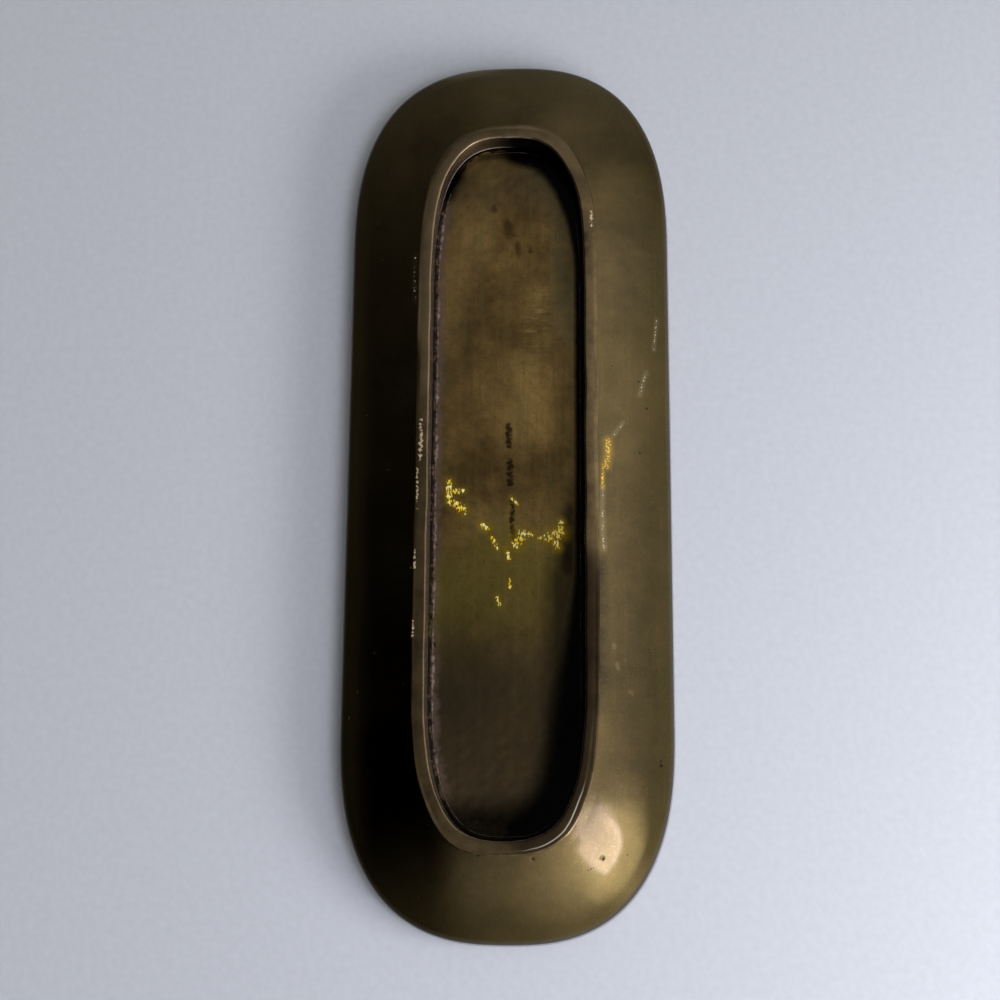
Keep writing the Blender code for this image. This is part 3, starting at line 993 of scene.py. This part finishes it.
# %% Finish of the floor
def sheet_brass():
    """Brown streaked metal under stains, dirt, painted shadow and shade and crust, with yellow flecks
    painted as glints in painted golden glows.
    """
    finish, tree, shader, in_mm, mark = new_finish("stained_sheet_brass", floor_marks)
    pattern = sheet_patterns(tree, in_mm)
    cloud = add(tree, "TexNoise", {"Vector": in_mm, "Scale": 1 / 16.0, "Detail": 6.0, "Roughness": 0.6})
    blot = add(tree, "TexNoise", {"Vector": in_mm, "Scale": 1 / 2.2, "Detail": 4.0, "Roughness": 0.65})
    specks = add(tree, "TexNoise", {"Vector": in_mm, "Scale": 1 / 0.6, "Detail": 2.0})

    cloudy = add(tree, "MapRange", {VALUE: cloud, LOW: 0.40, HIGH: 0.62})
    streaky = add(tree, "MapRange", {VALUE: pattern["streak"], LOW: 0.45, HIGH: 0.70, AT_HIGH: 0.6})
    hatched = add(tree, "MapRange", {VALUE: pattern["hatch"], LOW: 0.50, HIGH: 0.66, AT_HIGH: 0.6})
    speckled = add(tree, "MapRange", {VALUE: specks, LOW: 0.54, HIGH: 0.72, AT_HIGH: 0.30})
    patchy = add(tree, "MapRange", {VALUE: blot, LOW: 0.35, HIGH: 0.65, AT_LOW: 0.15, AT_HIGH: 0.75})
    ragged = add(tree, "Math", {0: blot, 1: 5.0, 2: -2.6}, operation="MULTIPLY_ADD")
    edge = add(tree, "Math", {0: mark["wall_distance"], 1: ragged}, operation="ADD")
    creep = add(tree, "MapRange", {VALUE: edge, LOW: 1.4, HIGH: 3.0, AT_LOW: 0.85, AT_HIGH: 0.0})
    seam = add(tree, "MapRange", {VALUE: edge, LOW: 0.3, HIGH: 0.8, AT_LOW: 0.9, AT_HIGH: 0.0})
    # Each mark is weakened, or broken up by a pattern.
    part = {
        name: add(tree, "Math", {0: mark[name], 1: times}, operation="MULTIPLY")
        for name, times in (
            ("olive", 0.60),
            ("soot_and_shade", 0.85),
            ("shade", 0.92),
            ("film", patchy),
            ("combed", hatched),
            ("stained", pattern["chatter"]),
            ("blotched", blot),
            ("crust", creep),
            ("rubbed_glint", pattern["grit"]),
        )
    }
    stain = add(tree, "MapRange", {VALUE: part["stained"], LOW: 0.28, HIGH: 0.48, AT_HIGH: 0.88})
    soak = add(tree, "MapRange", {VALUE: part["blotched"], LOW: 0.24, HIGH: 0.52, AT_HIGH: 0.60})
    # Grime and painted shadow turn the floor black.
    fray = add(tree, "Math", {0: blot, 1: 0.3, 2: -0.15}, operation="MULTIPLY_ADD")
    frayed = add(tree, "Math", {0: mark["grime_and_shadow"], 1: fray}, operation="ADD")
    thick = add(tree, "MapRange", {VALUE: frayed, LOW: 0.12, HIGH: 0.95})
    # A painted golden glow and painted glint flecks lie on the bright scratches.
    painted_glint_smear = add(tree, "MapRange", {VALUE: mark["rubbed_glint"], LOW: 0.05, HIGH: 1.0, AT_HIGH: 0.72})
    fleck = add(tree, "MapRange", {VALUE: part["rubbed_glint"], LOW: 0.40, HIGH: 0.54})
    hue = add(tree, "MapRange", {VALUE: blot, LOW: 0.42, HIGH: 0.60})
    skin = painted(tree, "5E4A2A", [
        (cloudy, "927544"),
        (streaky, "6B6038"),
        (part["olive"], "8A7C3A"),
        (part["soot_and_shade"], "463C2E"),
        (part["film"], "5E5840"),
        (part["shade"], "2A2418"),
        (part["combed"], "A18854"),
        (speckled, "3C2E1E"),
        (stain, "241A0E"),
        (soak, "2E1E0E"),
        (part["crust"], "69574C"),
        (seam, "140F0A"),
        (thick, "040303"),
        (painted_glint_smear, painted(tree, "A2781A", [(hue, "A28E10")])),
        (fleck, painted(tree, "E2C016", [(hue, "FAF2A4")])),
    ])
    fine = add(tree, "Bump", {"Height": blot, "Strength": 0.25, "Distance": 0.06 * MM})
    scratch = {"Height": pattern["streak"], "Strength": 0.25, "Distance": 0.05 * MM, "Normal": fine}
    wire(tree, shader, {
        "Base Color": skin,
        # Torn metal scatters light, so a fleck shows from every side, as a matt colour does: the flecks
        # are painted glints.
        "Metallic": add(tree, "MapRange", {VALUE: fleck, AT_LOW: 0.97, AT_HIGH: 0.15}),
        "Roughness": add(tree, "MapRange", {VALUE: part["crust"], AT_LOW: 0.17, AT_HIGH: 0.45}),
        "Normal": add(tree, "Bump", scratch),
    })
    return finish


# %% [markdown]
# ## Solder and felt
# Old solder is dull grey with a pale, powdery crust, so it is only half a metal to the eye. Pressed
# wool felt has no weave: it is a mat of short fibres, drawn here as mottling of about 0.8 mm, which is
# coarser than the real fibres so that it shows.


# %% Finishes of the seams and the pad
def old_solder():
    """Dull half-metal with pale lumps."""
    finish, tree, shader, in_mm, _ = new_finish("old_hard_solder")
    lumps = add(tree, "TexNoise", {"Vector": in_mm, "Scale": 1 / 0.9, "Detail": 4.0, "Roughness": 0.7})
    pale = add(tree, "MapRange", {VALUE: lumps, LOW: 0.38, HIGH: 0.64})
    wire(tree, shader, {
        "Base Color": painted(tree, "302520", [(pale, "77655A")]),
        "Metallic": 0.6,
        "Roughness": 0.55,
        "Normal": add(tree, "Bump", {"Height": lumps, "Strength": 0.7, "Distance": 0.15 * MM}),
    })
    return finish


def wool_felt():
    """Matt green with a mottle of fibres, faded in places, and a soft sheen."""
    finish, tree, shader, in_mm, _ = new_finish("pressed_wool_felt")
    mat = add(tree, "TexNoise", {"Vector": in_mm, "Scale": 1 / 0.8, "Detail": 5.0, "Roughness": 0.7})
    worn = add(tree, "TexNoise", {"Vector": in_mm, "Scale": 1 / 22.0, "Detail": 3.0})
    mottle = add(tree, "MapRange", {VALUE: mat, LOW: 0.3, HIGH: 0.7})
    faded = add(tree, "MapRange", {VALUE: worn, LOW: 0.45, HIGH: 0.75, AT_HIGH: 0.5})
    wire(tree, shader, {
        "Base Color": painted(tree, "1B3226", [(mottle, "2F4D3C"), (faded, "46574A")]),
        "Roughness": 0.95,
        "Normal": add(tree, "Bump", {"Height": mat, "Strength": 0.8, "Distance": 0.25 * MM}),
        "Sheen Weight": 0.4,
        "Sheen Roughness": 0.5,
    })
    return finish


# %% [markdown]
# ## Putting the pieces on the tray
# Nothing on the tray moves, so every piece rides on the one body. Each new piece stands for the
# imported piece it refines. The base plate is hidden by the felt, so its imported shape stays.

# %% Finish, ride and replace
solder, sheet = old_solder(), sheet_brass()
for piece, node, finish, slot in (
    (shoulder, "shoulder_shell", cast_brass(), "aged_brass"),
    (collar, "well_collar", rubbed_brass(), "worn_brass"),
    (floor, "floor_plate", sheet, "sheet_brass"),
    (floor_bead, "floor_solder", solder, "solder"),
    (collar_bead, "collar_solder", solder, "solder"),
    (base_bead, "base_solder", solder, "solder"),
    (felt, "base_felt", wool_felt(), "felt"),
):
    piece.data.materials.append(finish)
    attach(piece, "root")
    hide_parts(node)
    print(f"{node}: {piece.name} in {finish.name}")
base_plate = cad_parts["base_plate"]
base_plate.data.materials.clear()
base_plate.data.materials.append(sheet)

# %% [markdown]
# ## Table
# The tray lies on a plain pale table: painted board with a faint mottle from the roller.

# %% Make the table
TABLE_HALF = 1.5
TABLE_GAP = 0.0001


def painted_board():
    """Matt pale grey with a faint mottle."""
    finish, tree, shader, in_mm, _ = new_finish("pale_painted_board")
    roller = add(tree, "TexNoise", {"Vector": in_mm, "Scale": 1 / 1.6, "Detail": 4.0})
    tint = add(tree, "MapRange", {VALUE: roller, LOW: 0.3, HIGH: 0.7})
    wire(tree, shader, {"Base Color": painted(tree, "B9BCC2", [(tint, "BFC2C8")]), "Roughness": 0.7})
    return finish


board = bpy.data.meshes.new("table")
corners = np.array([(-1, -1), (1, -1), (1, 1), (-1, 1)]) * TABLE_HALF
board.from_pydata([(cx, cy, cad_low[2] - TABLE_GAP) for cx, cy in corners.tolist()], [], [(0, 1, 2, 3)])
table = bpy.data.objects.new("table", board)
bpy.context.scene.collection.objects.link(table)
board.materials.append(painted_board())
table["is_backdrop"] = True
print(f"table {2 * TABLE_HALF:.0f} m wide, {TABLE_GAP / MM:.1f} mm under the tray")

# %% [markdown]
# ## Room light
# Metal shows what surrounds it, so the room is drawn as soft ramps over the directions that light
# comes from. A broad glow is bright on the right and fades to a dim room on the left. It is weaker low
# on the right, straight overhead, and towards the far and near walls, which have a faint light of
# their own. A soft bloom lies round the lamp. One ramp per direction keeps each of these apart.

# %% Directions in the room
BLOOM_WAY = (0.60, -0.37, 0.71)
OVERHEAD_SHIFT = (0.04, -0.15, 0.0)
world = bpy.data.worlds.new("soft_room")
bpy.context.scene.world = world
world.use_nodes = True
sky = world.node_tree
way = add(sky, "TexCoord", {}, "Generated")
level = add(sky, "VectorMath", {0: way, 1: (1.0, 1.0, 0.0), 2: OVERHEAD_SHIFT}, operation="MULTIPLY_ADD")
measure = {
    "right": add(sky, "SeparateXYZ", {0: way}, "X"),
    "far": add(sky, "SeparateXYZ", {0: way}, "Y"),
    "lean": add(sky, "VectorMath", {0: level}, "Value", operation="LENGTH"),
    "bloom": add(sky, "VectorMath", {0: way, 1: BLOOM_WAY}, "Value", operation="DOT_PRODUCT"),
}

# %% Ramps of light
room = {}
for name, reading, low, high, at_low, at_high, kind in (
    ("glow", "right", -0.455, 0.60, 0.0, 1.73, "SMOOTHSTEP"),
    ("low_right", "right", 0.24, 0.83, 1.0, 0.41, "LINEAR"),
    ("towards_far", "far", 0.235, 0.615, 1.0, 0.19, "SMOOTHSTEP"),
    ("towards_near", "far", -0.82, -0.575, 0.58, 1.0, "LINEAR"),
    ("overhead", "lean", 0.0, 0.25, 0.376, 1.0, "SMOOTHSTEP"),
    ("far_wall", "far", 0.04, 0.88, 0.0, 0.135, "SMOOTHSTEP"),
    ("near_wall", "far", -0.10, -1.10, 0.0, 0.13, "SMOOTHSTEP"),
    ("low_left", "right", -0.80, -0.97, 0.0, 0.04, "SMOOTHSTEP"),
    ("bloom", "bloom", 0.925, 0.995, 0.0, 1.9, "SMOOTHSTEP"),
):
    limits = {VALUE: measure[reading], LOW: low, HIGH: high, AT_LOW: at_low, AT_HIGH: at_high}
    room[name] = add(sky, "MapRange", limits, interpolation_type=kind)
print("ramps of light:", ", ".join(room))

# %% Add up the ramps
strength = room["glow"]
for name, operation in (
    ("low_right", "MULTIPLY"),
    ("towards_near", "MULTIPLY"),
    ("towards_far", "MULTIPLY"),
    ("far_wall", "ADD"),
    ("overhead", "MULTIPLY"),
    ("bloom", "ADD"),
    ("low_left", "ADD"),
    ("near_wall", "ADD"),
):
    strength = add(sky, "Math", {0: strength, 1: room[name]}, operation=operation)
wire(sky, sky.nodes["Background"], {"Color": (1.0, 1.0, 1.0, 1.0), "Strength": strength})

# %% [markdown]
# ## Lamps
# One small lamp gives the highlight on the near right corner. Its size and place are those of the
# highlight, seen from that corner. A second, low and to the right, only throws the tray's soft shadow
# to the left, so it is hidden from reflections.


# %% A flat lamp
def lamp_at(name, aim, rise, heading, distance, size, spin, radiance, tint):
    """Flat lamp that faces a point of the tray.

    Rise is its angle over the table, heading its angle round from the right, and spin its own turn,
    all in degrees. Its power is its radiance times its area times pi.
    """
    light = bpy.data.lights.new(name, "AREA")
    light.shape = "RECTANGLE"
    light.size, light.size_y = size
    light.energy = radiance * math.pi * size[0] * size[1]
    light.color = tint
    lamp = bpy.data.objects.new(name, light)
    bpy.context.scene.collection.objects.link(lamp)
    flat = math.cos(math.radians(rise))
    towards = Vector((
        flat * math.cos(math.radians(heading)),
        flat * math.sin(math.radians(heading)),
        math.sin(math.radians(rise)),
    ))
    facing = towards.to_track_quat("Z", "Y").to_matrix().to_4x4()
    place = Matrix.Translation(Vector(aim) * MM + towards * distance)
    lamp.matrix_world = place @ facing @ Matrix.Rotation(math.radians(spin), 4, "Z")
    print(f"{name}: {light.energy:.2f} W at {distance} m")
    return lamp


# %% Hang the lamps
corner_lamp = lamp_at(
    "corner_lamp", aim=(20.2, -78.2, 9.2), rise=55.4, heading=-30.4, distance=0.55,
    size=(0.240, 0.170), spin=35, radiance=3.05, tint=(1.0, 1.02, 1.85),
)
table_fill = lamp_at(
    "table_fill", aim=(0.0, 0.0, 0.0), rise=19, heading=-28, distance=0.45,
    size=(0.315, 0.075), spin=0, radiance=33.0, tint=(1.0, 1.0, 1.0),
)
table_fill.visible_glossy = False

# %% [markdown]
# ## The lamp's cover
# The highlight is leaf-shaped, and brightest along its lower rim. A cover could be built as a mesh, but
# a lamp's own nodes can shape its light, so the leaf is drawn on the lamp's flat coordinates. Outside
# is the square of the long side plus the size of the short side less one: 0 on the edge of the leaf.

# %% Shape the lamp's cover
LOWER_WAY = (-0.6, -0.8, 0.0)
corner_lamp.data.use_nodes = True
cover = corner_lamp.data.node_tree
spot = add(cover, "NewGeometry", {}, "Parametric")
middle = {0: spot, 1: (2.0, 2.0, 0.0), 2: (-1.0, -1.0, 0.0)}
centred = add(cover, "VectorMath", middle, operation="MULTIPLY_ADD")
long_side, short_side = (add(cover, "SeparateXYZ", {0: centred}, axis) for axis in "XY")
long_part = add(cover, "Math", {0: long_side, 1: long_side, 2: -1.0}, operation="MULTIPLY_ADD")
short_part = add(cover, "Math", {0: short_side}, operation="ABSOLUTE")
outside = add(cover, "Math", {0: long_part, 1: short_part}, operation="ADD")
leaf = add(cover, "MapRange", {VALUE: outside, LOW: -0.08, HIGH: 0.0, AT_LOW: 1.0, AT_HIGH: 0.0})
edge_band = {VALUE: outside, LOW: -0.45, HIGH: -0.15}
rim_band = add(cover, "MapRange", edge_band, interpolation_type="SMOOTHSTEP")
lower = add(cover, "VectorMath", {0: centred, 1: LOWER_WAY}, "Value", operation="DOT_PRODUCT")
lower_side = add(cover, "MapRange", {VALUE: lower, LOW: -0.5, HIGH: 0.5, AT_LOW: 0.0, AT_HIGH: 0.9})
rim_light = add(cover, "Math", {0: rim_band, 1: lower_side, 2: 0.9}, operation="MULTIPLY_ADD")
shown = add(cover, "Math", {0: rim_light, 1: leaf}, operation="MULTIPLY")
wire(cover, cover.nodes["Emission"], {"Strength": shown})
print("nodes on the lamp's cover:", len(cover.nodes))

# %% [markdown]
# ## Camera
# The camera looks down at the photograph's angle. It is tilted from straight down, turned round the
# table's upright, and rolled back so that the tray stands upright in the picture.

# %% Set the camera
FRAME_PX = 1000
FOCAL_PX = 1700
CAMERA_TILT, CAMERA_YAW, CAMERA_ROLL = (math.radians(angle) for angle in (13.59, 14.75, -14.72))
CAMERA_DISTANCE = 0.3775
AIM_OFFSET = Vector((2.80, 2.90, 0.0)) * MM
eye = bpy.data.cameras.new("camera")
eye.sensor_width = 36.0
eye.lens = eye.sensor_width * FOCAL_PX / FRAME_PX
eye.clip_start = 0.01
camera = bpy.data.objects.new("camera", eye)
bpy.context.scene.collection.objects.link(camera)
yawed = Matrix.Rotation(CAMERA_YAW, 4, "Z")
tilted = Matrix.Rotation(CAMERA_TILT, 4, "X")
rolled = Matrix.Rotation(CAMERA_ROLL, 4, "Z")
back = tilted @ Vector((0.0, 0.0, CAMERA_DISTANCE))
camera.matrix_world = yawed @ Matrix.Translation(back - AIM_OFFSET) @ tilted @ rolled
bpy.context.scene.camera = camera
bpy.context.scene.view_settings.view_transform = "Standard"
print("camera at, mm:", [round(v / MM, 1) for v in camera.matrix_world.translation])

# %% [markdown]
# ## Measure and finish
# The finished tray has to keep the size of the imported one, so its box is printed, as the imported one's
# was at the start.

# %% Print the finished box
bpy.context.view_layer.update()
low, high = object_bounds()
print("finished tray, mm:", [round((b - a) / MM, 2) for a, b in zip(low, high)])
